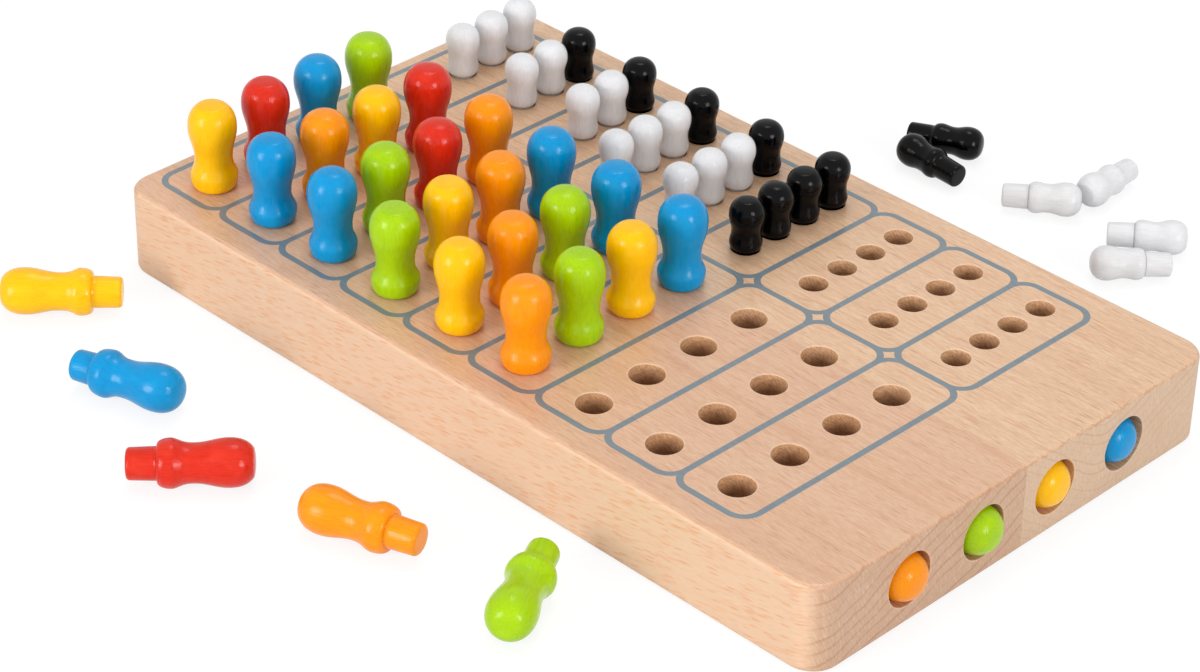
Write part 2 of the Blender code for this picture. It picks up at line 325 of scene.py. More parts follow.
def bored_cell(u, v, centre, stages, place):
    """A cell with its hole, kept with the hole's walls marked as bare."""
    rings, first_wall = drilled_cell(u, v, centre, stages)
    gather(place(rings), ring_faces(rings.shape[0], rings.shape[1], count), first_wall)


def on_top(grid):
    """Cell places (x, y, depth) on the playing face."""
    return np.stack([grid[..., 0], grid[..., 1], board_thickness - grid[..., 2]], -1)


def on_end(grid):
    """Cell places (y, z, depth) on the end with the code."""
    return np.stack([board_length / 2 - grid[..., 2], grid[..., 0], grid[..., 1]], -1)


for low, high, x in zip(x_stops, x_stops[1:], row_x[::-1]):
    u = within(x_lines, low, high)
    for column in range(4):
        v = within(y_lines, guess_stops[column], guess_stops[column + 1])
        bored_cell(u, v, (x, guess_y[column]), [guess_hole], on_top)
        v = within(y_lines, key_stops[column], key_stops[column + 1])
        bored_cell(u, v, (x, key_y[column]), [key_hole], on_top)
    plain_cell(u, within(y_lines, guess_stops[-1], key_stops[0]), on_top)
plain_cell(within(x_lines, x_stops[-2], inner_x), y_lines, on_top)
for column in range(4):
    v = within(y_lines, bore_stops[column], bore_stops[column + 1])
    bored_cell(v, z_lines, (code_y[column], code_z), [code_bore, code_socket], on_end)
plain_cell(within(y_lines, -inner_y, bore_stops[0]), z_lines, on_end)
plain_cell(within(y_lines, bore_stops[-1], inner_y), z_lines, on_end)

# The sides: a path round the board, with the rounded edges and the wall as the profile carried along it.
# A point of the path is (x, y, outward x, outward y, 1 on the end with the code and 0 elsewhere), and the
# surface is the path's point moved outwards by the profile's reach, at the profile's height.
quarter = np.linspace(0, math.pi / 2, 11)[1:-1]
path = []
straights = ((inner_x, y_lines), (inner_y, -x_lines), (inner_x, -y_lines), (inner_y, x_lines))
for side, (reached, stops) in enumerate(straights):
    turn = side * math.pi / 2
    outward = np.array([math.cos(turn), math.sin(turn)])
    onward = np.array([-outward[1], outward[0]])
    straight = reached * outward + np.sort(stops)[:, None] * onward
    on_code_end = np.full(len(stops), side == 0)
    path.append(np.column_stack([straight, np.tile(outward, (len(stops), 1)), on_code_end]))
    spread = np.column_stack([np.cos(turn + quarter), np.sin(turn + quarter)])
    corner = np.tile(straight[-1], (len(quarter), 1))
    path.append(np.column_stack([corner, spread, np.zeros(len(quarter))]))
path = np.concatenate(path)
edge = rounding(edge_radius, 8)
reach = np.concatenate([
    [0, corner_radius - 2 * edge_radius],
    corner_radius - edge[:, 0],
    np.full(len(z_lines) - 2, corner_radius),
    corner_radius - edge[::-1, 0],
    [corner_radius - 2 * edge_radius, 0],
])
height = np.concatenate([
    [board_thickness, board_thickness],
    board_thickness - edge[:, 1],
    z_lines[-2:0:-1],
    edge[::-1, 1],
    [0, 0],
])
flank = np.stack([
    path[None, :, 0] + reach[:, None] * path[None, :, 2],
    path[None, :, 1] + reach[:, None] * path[None, :, 3],
    np.broadcast_to(height[:, None], (len(height), len(path))),
], -1)
squares = ring_faces(len(height), len(path), count)
end_wall = (path[:, 4] > 0) & (np.roll(path[:, 4], -1) > 0)
wall_rows = (height[:-1] < board_thickness - edge_radius + 1e-7) & (height[1:] > edge_radius - 1e-7)
keep = ~(wall_rows[:, None] & end_wall[None, :])
points.append(flank.reshape(-1, 3))
faces.append(squares[keep])
bare.append(np.zeros(int(keep.sum()), bool))
rims.append(np.zeros(flank.shape[0] * flank.shape[1]))
underside = count + (len(height) - 1) * len(path) + np.arange(len(path))
count += flank.reshape(-1, 3).shape[0]

board_mesh = bpy.data.meshes.new("varnished_board")
board_mesh.from_pydata(
    np.concatenate(points).tolist(), [], np.concatenate(faces).tolist() + [underside[::-1].tolist()]
)
slots = np.append(np.concatenate(bare), False).astype(np.int32)
board_mesh.polygons.foreach_set("material_index", slots)
board_mesh.attributes.new("rim", "FLOAT", "POINT").data.foreach_set("value", np.concatenate(rims))
weld = bmesh.new()
weld.from_mesh(board_mesh)
bmesh.ops.remove_doubles(weld, verts=weld.verts, dist=weld_distance)
bmesh.ops.recalc_face_normals(weld, faces=weld.faces)
weld.to_mesh(board_mesh)
weld.free()
board_mesh.shade_smooth()
board_mesh.set_sharp_from_angle(angle=math.radians(40))
board = bpy.data.objects.new("varnished_board", board_mesh)
bpy.context.scene.collection.objects.link(board)

# The board's beech
# Two staves of beech, glued edge to edge, planed and sanded: the near one is pinker with slanting rings
# and the far one paler with rings in a U. One solid pattern runs through the panel, so the streaks of the
# face meet the rings of the end.


def work(tree, operation, *values, clamped=False):
    """One step of arithmetic on numbers or sockets."""
    settings = {"operation": operation, "use_clamp": clamped}
    return add(tree, "ShaderNodeMath", settings, dict(enumerate(values))).outputs[0]


def ramp(tree, value, low, high, smooth=True):
    """0 where the value is at low and 1 where it is at high, kept between the two."""
    settings = {"interpolation_type": "SMOOTHSTEP" if smooth else "LINEAR", "clamp": True}
    inputs = {"Value": value, "From Min": low, "From Max": high}
    return add(tree, "ShaderNodeMapRange", settings, inputs).outputs["Result"]


def blend(tree, share, one, other):
    """A colour between two: one + share (other - one)."""
    return add(tree, "ShaderNodeMix", {"data_type": "RGBA"}, {0: share, 6: one, 7: other}).outputs[2]


def between(tree, share, one, other):
    """A number between two: one + share (other - one)."""
    return add(tree, "ShaderNodeMix", {"data_type": "FLOAT"}, {0: share, 2: one, 3: other}).outputs[0]


def cloud(tree, place, size, detail=2.0):
    """Soft noise around 0.5 whose lumps have the size (x, y, z) in mm."""
    spread = add(tree, "ShaderNodeVectorMath", {"operation": "DIVIDE"}, {0: place, 1: size}).outputs[0]
    inputs = {"Vector": spread, "Scale": 1.0, "Detail": detail}
    return add(tree, "ShaderNodeTexNoise", inputs=inputs).outputs[0]


def dashes(tree, place, size, chance, reach):
    """Short marks. Cells of the size (x, y, z) in mm each get a point. A share of them, the chance, holds
    a mark as far as the reach, in parts of a cell, and each is as strong as its own random number."""
    spread = add(tree, "ShaderNodeVectorMath", {"operation": "DIVIDE"}, {0: place, 1: size}).outputs[0]
    inputs = {"Vector": spread, "Scale": 1.0, "Randomness": 0.9}
    cells = add(tree, "ShaderNodeTexVoronoi", inputs=inputs)
    numbers = add(tree, "ShaderNodeSeparateColor", inputs={0: cells.outputs["Color"]})
    picked = ramp(tree, numbers.outputs[0], 1 - chance, 1 - chance * 0.6)
    inside = ramp(tree, cells.outputs["Distance"], reach, reach * 0.45)
    strength = ramp(tree, numbers.outputs[1], -0.6, 1.0)
    return work(tree, "MULTIPLY", work(tree, "MULTIPLY", picked, inside), strength)


def place_in_mm(tree):
    """The place on the piece in mm, and its x, y and z."""
    own = add(tree, "ShaderNodeTexCoord").outputs["Object"]
    scaled = add(tree, "ShaderNodeVectorMath", {"operation": "SCALE"}, {0: own, "Scale": 1000.0})
    place = scaled.outputs[0]
    return place, add(tree, "ShaderNodeSeparateXYZ", inputs={0: place}).outputs


seam_y = 0.5


def beech_rings(tree, place, y, z):
    """The staves and their rings, as the share of the far stave and of the dark late wood. The near stave
    is where y is less than the seam's. A ring is a level of w = z - 0.38 y there, and of
    w = z - 0.6 sqrt((y - 33)^2 + 36) + 0.15 (y - 33) on the far one, both bent by 5 mm of slow waves. Rings
    are 3.8 mm wide on the near stave and 2.9 mm on the far one. A dark late band, as strong as the ring's
    own random number, lies before each whole number of w over that width."""
    far = ramp(tree, y, seam_y - 0.08, seam_y + 0.08, smooth=False)
    near_w = work(tree, "MULTIPLY_ADD", y, -0.38, z)
    heart_y = 33.0
    off = work(tree, "SUBTRACT", y, heart_y)
    bend = work(tree, "SQRT", work(tree, "MULTIPLY_ADD", off, off, 36.0))
    far_w = work(tree, "MULTIPLY_ADD", bend, -0.6, work(tree, "MULTIPLY_ADD", off, 0.15, z))
    waves = cloud(tree, place, (110.0, 17.0, 20.0), 2.0)
    w = work(tree, "MULTIPLY_ADD", waves, 5.0, between(tree, far, near_w, far_w))
    width = between(tree, far, 3.8, 2.9)
    rings = work(tree, "DIVIDE", w, width)
    phase = work(tree, "FRACT", rings)
    ring_number = work(tree, "FLOOR", rings)
    own = add(tree, "ShaderNodeTexWhiteNoise", {"noise_dimensions": "1D"}, {"W": ring_number})
    late = work(tree, "MULTIPLY", ramp(tree, phase, 0.70, 0.95), ramp(tree, phase, 1.0, 0.975))
    strength = ramp(tree, own.outputs[0], -0.15, 1.0, smooth=False)
    return far, work(tree, "MULTIPLY", late, strength)


# Beech under a satin varnish, sanded and lacquered: a pale pink-brown with fine streaks and dashes, and a
# soft sheen that breaks up along the fibres
varnished_beech, tree, output = new_material("varnished_beech")
place, (x, y, z) = place_in_mm(tree)
facing = add(tree, "ShaderNodeTexCoord").outputs["Normal"]
turned = add(tree, "ShaderNodeVectorMath", {"operation": "ABSOLUTE"}, {0: facing}).outputs[0]
nx, ny, nz = add(tree, "ShaderNodeSeparateXYZ", inputs={0: turned}).outputs
on_face = ramp(tree, nz, 0.6, 0.8)
on_long_side = ramp(tree, ny, 0.6, 0.8)
on_end_grain = ramp(tree, nx, 0.3, 0.85)
far, late = beech_rings(tree, place, y, z)

# Wide soft changes of colour, then rings, then the fibres, which are long on the face and dots on the end
wide = cloud(tree, place, (90.0, 14.0, 14.0), 2.0)
streak = cloud(tree, place, (30.0, 0.9, 1.2), 3.0)
blush = cloud(tree, place, (13.0, 0.8, 0.8), 2.0)
fibre = cloud(tree, place, (2.4, 0.28, 0.34), 2.0)
wood = blend(tree, far, linear("#DBB394"), linear("#E1BE9B"))
wood = blend(tree, work(tree, "MULTIPLY", ramp(tree, wide, 0.4, 0.75), 0.4), wood, linear("#D3A682"))
wood = blend(tree, work(tree, "MULTIPLY", ramp(tree, streak, 0.4, 0.8), 0.35), wood, linear("#C99872"))
wood = blend(tree, work(tree, "MULTIPLY", ramp(tree, blush, 0.52, 0.74), 0.55), wood, linear("#D29472"))
ring_on_face = between(tree, far, 0.36, 0.16)
ring_on_end = between(tree, far, 0.9, 0.4)
ring_depth = between(tree, on_end_grain, ring_on_face, ring_on_end)
wood = blend(tree, work(tree, "MULTIPLY", late, ring_depth), wood, linear("#BF8A68"))
wood = blend(tree, work(tree, "MULTIPLY", ramp(tree, fibre, 0.36, 0.68), 0.37), wood, linear("#B9855F"))

# The rays: dark dashes along the fibres on the face, slanting flecks on the long sides, and pale hair
# lines across the rings on the end
wavy = cloud(tree, place, (26.0, 9.0, 9.0), 1.0)
bent_y = work(tree, "MULTIPLY_ADD", wavy, 2.4, y)
flowing = add(tree, "ShaderNodeCombineXYZ", inputs={0: x, 1: bent_y, 2: z}).outputs[0]
near_dashes = dashes(tree, flowing, (7.5, 0.55, 1.1), 0.75, 0.32)
far_dashes = dashes(tree, flowing, (9.0, 0.50, 0.9), 0.6, 0.30)
face_dashes = between(tree, far, work(tree, "MULTIPLY", near_dashes, 0.7), far_dashes)
slant = math.radians(9)
along = work(tree, "MULTIPLY_ADD", x, math.cos(slant), work(tree, "MULTIPLY", z, math.sin(slant)))
up = work(tree, "MULTIPLY_ADD", x, -math.sin(slant), work(tree, "MULTIPLY", z, math.cos(slant)))
slanting = add(tree, "ShaderNodeCombineXYZ", inputs={0: along, 1: y, 2: up}).outputs[0]
side_flecks = dashes(tree, slanting, (5.8, 1.8, 0.9), 0.9, 0.42)
small_flecks = dashes(tree, slanting, (3.4, 1.4, 0.6), 0.8, 0.4)
side_flecks = work(tree, "MULTIPLY_ADD", small_flecks, 0.5, side_flecks)
flames = cloud(tree, slanting, (6.5, 3.0, 0.9), 3.0)
marks = work(tree, "MULTIPLY", face_dashes, on_face)
side_share = work(tree, "MULTIPLY", on_long_side, 0.72)
marks = work(tree, "MULTIPLY_ADD", side_flecks, side_share, marks, clamped=True)
wood = blend(tree, work(tree, "MULTIPLY", on_long_side, 0.8), wood, linear("#E3C0A0"))
flame_share = work(tree, "MULTIPLY", on_long_side, 0.6)
flamed = work(tree, "MULTIPLY", ramp(tree, flames, 0.46, 0.74), flame_share)
wood = blend(tree, flamed, wood, linear("#DCA377"))
mark_colour = blend(tree, on_long_side, linear("#A06E46"), linear("#DA9664"))
wood = blend(tree, work(tree, "MULTIPLY", marks, 0.85), wood, mark_colour)
lean = between(tree, far, 0.38, 0.1)
across_rings = work(tree, "MULTIPLY_ADD", z, lean, y)
through_rings = work(tree, "SUBTRACT", z, work(tree, "MULTIPLY", y, lean))
fan = add(tree, "ShaderNodeCombineXYZ", inputs={0: x, 1: across_rings, 2: through_rings}).outputs[0]
hair = ramp(tree, cloud(tree, fan, (3.0, 0.34, 3.0), 2.0), 0.48, 0.7)
end_wood = blend(tree, 0.5, wood, blend(tree, far, linear("#B08F74"), linear("#C6AC92")))
end_wood = blend(tree, work(tree, "MULTIPLY", hair, 0.34), end_wood, linear("#E3C9B2"))
end_rings = work(tree, "MULTIPLY", late, between(tree, far, 0.55, 0.25))
end_wood = blend(tree, end_rings, end_wood, linear("#AE7856"))
wood = blend(tree, on_end_grain, wood, end_wood)

# Along the top edge of the end the fibres are torn out in a ragged line, which has soaked up the varnish.
# The rims of the holes get a painted highlight, a paler band on their rounded edges, and the joint of the
# staves is a thin dark line.
face_z = board_thickness / mm
torn_line = cloud(tree, place, (3.0, 0.9, 3.0), 3.0)
gaps = cloud(tree, place, (9.0, 7.0, 9.0), 2.0)
broken = between(tree, ramp(tree, gaps, 0.42, 0.6), 0.15, 0.6)
jagged = work(tree, "MULTIPLY_ADD", torn_line, 1.3, work(tree, "SUBTRACT", nz, 1.2))
soaked = work(tree, "MULTIPLY", ramp(tree, jagged, -0.34, 0.0), ramp(tree, jagged, 0.22, 0.06))
top_edge = work(tree, "MULTIPLY", ramp(tree, nx, 0.1, 0.3), ramp(tree, z, face_z - 3.0, face_z - 1.5))
soaked = work(tree, "MULTIPLY", soaked, top_edge)
wood = blend(tree, work(tree, "MULTIPLY", soaked, broken), wood, linear("#BC7D50"))
# Painted highlight: the rounded rims of the holes, marked by the attribute rim, are painted paler
rim = add(tree, "ShaderNodeAttribute", {"attribute_name": "rim"}).outputs["Fac"]
wood = blend(tree, work(tree, "MULTIPLY", rim, 0.35), wood, linear("#EBCDAF"))
seam = ramp(tree, work(tree, "ABSOLUTE", work(tree, "SUBTRACT", y, seam_y)), 0.16, 0.04)
wood = blend(tree, work(tree, "MULTIPLY", seam, 0.3), wood, linear("#A8714C"))

# The printed grid: two columns of nine cells, each a rounded rectangle drawn with one stroke, so that
# neighbours share a line. The distance to the cell's outline is length(max(q, 0)) + min(max(q), 0) - r with
# q = |p - centre| - (half the cell - r). The lines across the board slant a little.
stroke = 1.95
ink_edge = 0.06
cell_corner = 5.7
cell_pitch = 25.9
grid_start = 102.5
grid_slant = 0.0057
last_cell = 8.0
column_line = 13.95
guess_middle, guess_half = -28.275, 42.225
key_middle, key_half = 42.05, 28.1
ahead = work(tree, "MULTIPLY_ADD", y, grid_slant, work(tree, "SUBTRACT", grid_start, x))
cell = work(tree, "FLOOR", work(tree, "DIVIDE", ahead, cell_pitch))
cell = work(tree, "MINIMUM", work(tree, "MAXIMUM", cell, 0.0), last_cell)
from_start = work(tree, "SUBTRACT", ahead, cell_pitch / 2)
in_cell = work(tree, "MULTIPLY_ADD", cell, -cell_pitch, from_start)
key_column = work(tree, "GREATER_THAN", y, column_line)
from_middle = work(tree, "SUBTRACT", y, between(tree, key_column, guess_middle, key_middle))
q_x = work(tree, "SUBTRACT", work(tree, "ABSOLUTE", in_cell), cell_pitch / 2 - cell_corner)
half_y = between(tree, key_column, guess_half - cell_corner, key_half - cell_corner)
q_y = work(tree, "SUBTRACT", work(tree, "ABSOLUTE", from_middle), half_y)
out_x = work(tree, "MAXIMUM", q_x, 0.0)
out_y = work(tree, "MAXIMUM", q_y, 0.0)
out_squared = work(tree, "MULTIPLY_ADD", out_x, out_x, work(tree, "MULTIPLY", out_y, out_y))
outside = work(tree, "SQRT", out_squared)
inside = work(tree, "MINIMUM", work(tree, "MAXIMUM", q_x, q_y), 0.0)
to_outline = work(tree, "SUBTRACT", work(tree, "ADD", outside, inside), cell_corner)
distance = work(tree, "ABSOLUTE", to_outline)
printed = ramp(tree, distance, stroke / 2 + ink_edge, stroke / 2 - ink_edge)
printed = work(tree, "MULTIPLY", printed, ramp(tree, z, face_z - 0.1, face_z - 0.03))
ink_cover = work(tree, "MULTIPLY", printed, between(tree, ramp(tree, fibre, 0.3, 0.8), 0.94, 0.84))
ink = blend(tree, ramp(tree, streak, 0.3, 0.8), linear("#57717E"), linear("#637D89"))
seen_wood = blend(tree, ink_cover, wood, ink)

# The satin varnish follows the fibres a little, and sinks in over the open dashes
relief = work(tree, "MULTIPLY_ADD", fibre, 0.5, work(tree, "MULTIPLY", marks, -0.8))
relief = work(tree, "MULTIPLY_ADD", printed, 0.25, relief)
relief_height = 0.018 * mm
sunk = add(
    tree, "ShaderNodeBump", inputs={"Strength": 1.0, "Distance": relief_height, "Height": relief}
)
sheen = between(tree, fibre, 0.24, 0.36)
sheen = between(tree, work(tree, "MAXIMUM", on_end_grain, on_long_side), sheen, 0.48)
beech = add(
    tree,
    "ShaderNodeBsdfPrincipled",
    inputs={"Base Color": seen_wood, "Roughness": sheen, "IOR": 1.6, "Normal": sunk.outputs[0]},
)
tree.links.new(beech.outputs[0], output.inputs["Surface"])

# The drilled walls are bare beech, matt and browner than the face. The drill tears them into short slanting
# fibres, which show as brown hair, or into long ones in the bores of the end. The holes from above get
# painted shade that darkens their walls with depth.
drilled_beech, tree, output = new_material("drilled_beech")
place, (x, y, z) = place_in_mm(tree)
far, late = beech_rings(tree, place, y, z)
lifted = work(tree, "MULTIPLY_ADD", work(tree, "ADD", x, y), 0.8, z)
slanted = add(tree, "ShaderNodeCombineXYZ", inputs={0: x, 1: y, 2: lifted}).outputs[0]
torn_down = cloud(tree, slanted, (0.9, 0.9, 0.36), 3.0)
torn_along = cloud(tree, place, (5.0, 0.35, 0.35), 3.0)
bores_from = 99.0
in_end = ramp(tree, x, bores_from - 1.0, bores_from)
torn = between(tree, in_end, torn_down, torn_along)
wall = blend(tree, far, linear("#D6A579"), linear("#DAAC82"))
wall = blend(tree, work(tree, "MULTIPLY", ramp(tree, torn, 0.42, 0.62), 0.55), wall, linear("#98683F"))
wall = blend(tree, work(tree, "MULTIPLY", late, 0.35), wall, linear("#8F6244"))
# Painted shade: the walls of the holes from above are painted darker with depth, for the shade at their
# bottoms
deep = ramp(tree, z, face_z - 0.6, face_z - 8.0)
deep = work(tree, "MULTIPLY", deep, work(tree, "SUBTRACT", 1.0, in_end))
wall = blend(tree, work(tree, "MULTIPLY", deep, 0.55), wall, linear("#643E29"))
splinter_height = 0.06 * mm
splinters = add(
    tree, "ShaderNodeBump", inputs={"Strength": 1.0, "Distance": splinter_height, "Height": torn}
)
bare_beech = add(
    tree,
    "ShaderNodeBsdfPrincipled",
    inputs={"Base Color": wall, "Roughness": 0.75, "IOR": 1.5, "Normal": splinters.outputs[0]},
)
tree.links.new(bare_beech.outputs[0], output.inputs["Surface"])
board_mesh.materials.append(varnished_beech)
board_mesh.materials.append(drilled_beech)
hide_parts("peg_board")
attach(board, "board")

# The guess pegs that stand in the board
# Each is one turned stick of wood: a round head with a small flat cap, a waist, a round foot, and below
# it a thinner shank with a chamfered end. They are dipped in coloured lacquer and pushed in by hand. Radii
# and lengths are in mm, and the places of head, waist and foot in parts of the height.
Turning = collections.namedtuple(
    "Turning",
    "height head waist foot head_at waist_at foot_at foot_round shoulder cap flat "
    "shank shank_length chamfer",
)
guess_turning = Turning(
    height=27.0,
    head=7.15,
    waist=5.50,
    foot=6.95,
    head_at=0.71,
    waist_at=0.355,
    foot_at=0.13,
    foot_round=1.8,
    shoulder=1.6,
    cap=3.8,
    flat=0.55,
    shank=4.68,
    shank_length=9.0,
    chamfer=1.0,
)
foot_rest = -0.2
inner_corner = 0.12
fullness = 2.35
shank_taper = 0.045
seat = 27.3
peg_points = 72
stick_length = 300


def turned_outline(peg):
    """The outline from the middle of the crown down to the middle of the shank's end, as (radius, height).
    The head is a quarter of a fuller ellipse, (r / head)^2.35 + (up / crown)^2.35 = 1, flattened inside
    the cap's radius. Neck and flare are half waves, r = waist + (head - waist) (1 + cos) / 2, and the
    flare's wave gathers at the foot by the power of its shoulder. The foot's edge is a quarter of an
    ellipse down to its rest. The shank tapers evenly to its chamfer, which is a quarter circle."""
    head_z, waist_z, foot_z = peg.height * np.array([peg.head_at, peg.waist_at, peg.foot_at])
    turn = np.linspace(math.pi / 2, 0, 29)
    power = 2 / fullness
    head = np.column_stack([
        peg.head * np.cos(turn).clip(0) ** power,
        head_z + (peg.height - head_z) * np.sin(turn).clip(0) ** power,
    ])
    rim_z = np.interp(peg.cap, head[:, 0], head[:, 1])
    head[:, 1] -= peg.flat * (head[:, 1] - rim_z).clip(0)
    wave = np.linspace(0, math.pi, 15)[1:]
    neck = np.column_stack([
        peg.waist + (peg.head - peg.waist) * (0.5 + 0.5 * np.cos(wave)),
        head_z + (waist_z - head_z) * wave / math.pi,
    ])
    gathered = math.pi * (wave / math.pi) ** peg.shoulder
    flare = np.column_stack([
        peg.waist + (peg.foot - peg.waist) * (0.5 - 0.5 * np.cos(gathered)),
        waist_z + (foot_z - waist_z) * wave / math.pi,
    ])
    turn = np.linspace(0, math.pi / 2, 9)[1:]
    edge = np.column_stack([
        peg.foot - peg.foot_round * (1 - np.cos(turn)),
        foot_z + (foot_rest - foot_z) * np.sin(turn),
    ])
    down = np.linspace(0, 1, 7)[1:]
    top_z = foot_rest - inner_corner
    straight = np.column_stack([
        peg.shank * (1 - shank_taper * down),
        top_z - (peg.shank_length + top_z - peg.chamfer) * down,
    ])
    turn = np.linspace(0, math.pi / 2, 6)[1:]
    end = np.column_stack([
        straight[-1, 0] - peg.chamfer * (1 - np.cos(turn)),
        straight[-1, 1] - peg.chamfer * np.sin(turn),
    ])
    end = np.concatenate([end, [[end[-1, 0] * 0.5, end[-1, 1]], [0, end[-1, 1]]]])
    inner = np.array([[peg.shank + inner_corner, foot_rest], [peg.shank, top_z]])
    return np.concatenate([head, neck, flare, edge, inner, straight, end])


def turned_peg(name, peg, number, lacquer):
    """Turns the outline round the z axis: (r cos a, r sin a, z). Every peg differs by its own number, as
    turned pegs do: head, waist and foot by up to 1.5 %, and the cap, the foot's edge and the flare by
    more. The mesh keeps the place before it is set down, in mm, as the attribute turned, and a random
    place in the stick it was cut from as the attribute stick."""
    chance = np.random.default_rng(number)
    peg = peg._replace(
        head=peg.head * (0.997 - 0.012 * chance.random()),
        waist=peg.waist * (1 + 0.03 * (chance.random() - 0.5)),
        waist_at=peg.waist_at + 0.024 * (chance.random() - 0.5),
        foot=peg.foot * (0.997 - 0.012 * chance.random()),
        foot_round=peg.foot_round * (1 - 0.35 * chance.random()),
        shoulder=peg.shoulder + 0.5 * (chance.random() - 0.5),
        cap=peg.cap * (1 + 0.25 * (chance.random() - 0.5)),
        flat=peg.flat * (0.3 + chance.random()),
        height=peg.height - 0.15 * chance.random(),
    )
    outline = turned_outline(peg)
    angle = np.arange(peg_points) * 2 * math.pi / peg_points
    rings = np.stack([
        outline[1:-1, :1] * np.cos(angle),
        outline[1:-1, :1] * np.sin(angle),
        np.broadcast_to(outline[1:-1, 1:], (len(outline) - 2, peg_points)),
    ], -1)
    points = np.concatenate([rings.reshape(-1, 3), [[0, 0, outline[0, 1]], [0, 0, outline[-1, 1]]]])
    crown, end = len(points) - 2, len(points) - 1
    squares = ring_faces(len(rings), peg_points, 0).reshape(-1, 4)
    first = np.arange(peg_points)
    last = first + (len(rings) - 1) * peg_points
    caps = [
        np.column_stack([np.full(peg_points, crown), np.roll(first, -1), first]),
        np.column_stack([np.full(peg_points, end), last, np.roll(last, -1)]),
    ]
    mesh = bpy.data.meshes.new(name)
    faces = squares[:, ::-1].tolist() + np.concatenate(caps)[:, ::-1].tolist()
    mesh.from_pydata(points.tolist(), [], faces)
    mesh.attributes.new("turned", "FLOAT_VECTOR", "POINT").data.foreach_set("vector", points.ravel())
    stick = np.tile(stick_length * chance.random(3), (len(points), 1))
    mesh.attributes.new("stick", "FLOAT_VECTOR", "POINT").data.foreach_set("vector", stick.ravel())
    mesh.shade_smooth()
    mesh.set_sharp_from_angle(angle=math.radians(50))
    mesh.materials.append(lacquer)
    piece = bpy.data.objects.new(name, mesh)
    bpy.context.scene.collection.objects.link(piece)
    return piece


def set_down(piece, frame_in_mm):
    """Puts the turned peg in its place, in its mesh: each point times the frame, then from mm to metres."""
    points = np.zeros(len(piece.data.vertices) * 3)
    piece.data.vertices.foreach_get("co", points)
    homogeneous = np.column_stack([points.reshape(-1, 3), np.ones(len(points) // 3)])
    placed = (homogeneous @ frame_in_mm.T)[:, :3] * mm
    piece.data.vertices.foreach_set("co", placed.ravel())
    piece.data.update()


def standing(x, y):
    """The frame of a peg that stands in the board at the place x, y in mm."""
    frame_in_mm = np.eye(4)
    frame_in_mm[:3, 3] = (x, y, seat)
    return frame_in_mm


def dipped_lacquer(name, colour, deep, pale, foot_corner_dark_share=0.7, shine=0.23, smoothest=0.15, roughest=0.23):
    """Gloss lacquer that turned wood was dipped in. The colour deepens in the streaks of the grain and
    gets paler where it is thin. The grain shows as fine ridges along the peg that break up the lamps'
    reflections, and the corner between foot and shank is darker, broken up by the ridges. The ridges are
    0.3 mm wide, coarser than real pores, so that they show."""
    lacquer, tree, output = new_material(name)
    own = add(tree, "ShaderNodeAttribute", {"attribute_name": "turned"}).outputs["Vector"]
    stick = add(tree, "ShaderNodeAttribute", {"attribute_name": "stick"}).outputs["Vector"]
    place = add(tree, "ShaderNodeVectorMath", {"operation": "ADD"}, {0: own, 1: stick}).outputs[0]
    x, y, z = add(tree, "ShaderNodeSeparateXYZ", inputs={0: own}).outputs
    grain = cloud(tree, place, (0.45, 0.45, 7.0), 3.0)
    patches = cloud(tree, place, (3.5, 3.5, 6.0), 2.0)
    ridges = cloud(tree, place, (0.28, 0.28, 1.6), 2.0)
    dimples = cloud(tree, place, (0.9, 0.9, 1.1), 3.0)
    skin = blend(tree, ramp(tree, grain, 0.4, 0.75), linear(colour), linear(deep))
    skin = blend(tree, work(tree, "MULTIPLY", ramp(tree, patches, 0.45, 0.75), 0.5), skin, linear(pale))
    shank_edge = 4.75
    across = work(tree, "SQRT", work(tree, "MULTIPLY_ADD", x, x, work(tree, "MULTIPLY", y, y)))
    past_shank = work(tree, "MAXIMUM", work(tree, "SUBTRACT", across, shank_edge), 0.0)
    from_corner = work(tree, "ADD", work(tree, "ABSOLUTE", z), past_shank)
    # The corner between foot and shank is darker, broken up by the ridges
    foot_corner_dark = work(tree, "MULTIPLY", ramp(tree, from_corner, 0.45, 0.1), ramp(tree, ridges, 0.42, 0.58))
    skin = blend(tree, work(tree, "MULTIPLY", foot_corner_dark, foot_corner_dark_share), skin, linear("#3A2A18"))
    relief = work(tree, "MULTIPLY_ADD", dimples, 1.2, work(tree, "ADD", ridges, grain))
    ridge_height = 0.03 * mm
    ridged = add(
        tree, "ShaderNodeBump", inputs={"Strength": 1.0, "Distance": ridge_height, "Height": relief}
    )
    gloss = between(tree, patches, smoothest, roughest)
    coat = add(
        tree,
        "ShaderNodeBsdfPrincipled",
        inputs={
            "Base Color": skin,
            "Roughness": gloss,
            "IOR": 1.5,
            "Specular IOR Level": shine,
            "Normal": ridged.outputs[0],
        },
    )
    tree.links.new(coat.outputs[0], output.inputs["Surface"])
    return lacquer


guess_lacquers = {
    "orange": dipped_lacquer("orange_lacquer_on_wood", "#F69200", "#F08600", "#F99C10"),
    "green": dipped_lacquer("green_lacquer_on_wood", "#A2CB00", "#96C000", "#AED40C"),
    "yellow": dipped_lacquer("yellow_lacquer_on_wood", "#FBBE00", "#F6B300", "#FDC60C"),
    "blue": dipped_lacquer("blue_lacquer_on_wood", "#0090CC", "#0086C2", "#0C9AD4"),
    "red": dipped_lacquer("red_lacquer_on_wood", "#D62A14", "#C8220C", "#E03A24"),
}
guess_rows = {
    4: ("orange", "green", "yellow", "blue"),
    5: ("yellow", "orange", "green", "blue"),
    6: ("green", "yellow", "orange", "blue"),
    7: ("blue", "green", "red", "orange"),
    8: ("blue", "orange", "yellow", "red"),
    9: ("yellow", "red", "blue", "green"),
}
for row, colours in guess_rows.items():
    for column, colour in enumerate(colours):
        node = f"guess_peg_row{row}_{column + 1}_{colour}"
        piece = turned_peg("turned_" + node, guess_turning, 10 * row + column, guess_lacquers[colour])
        set_down(piece, standing(row_x[row - 1] / mm, guess_y[column] / mm))
        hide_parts(node)
        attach(piece, node + "_body")

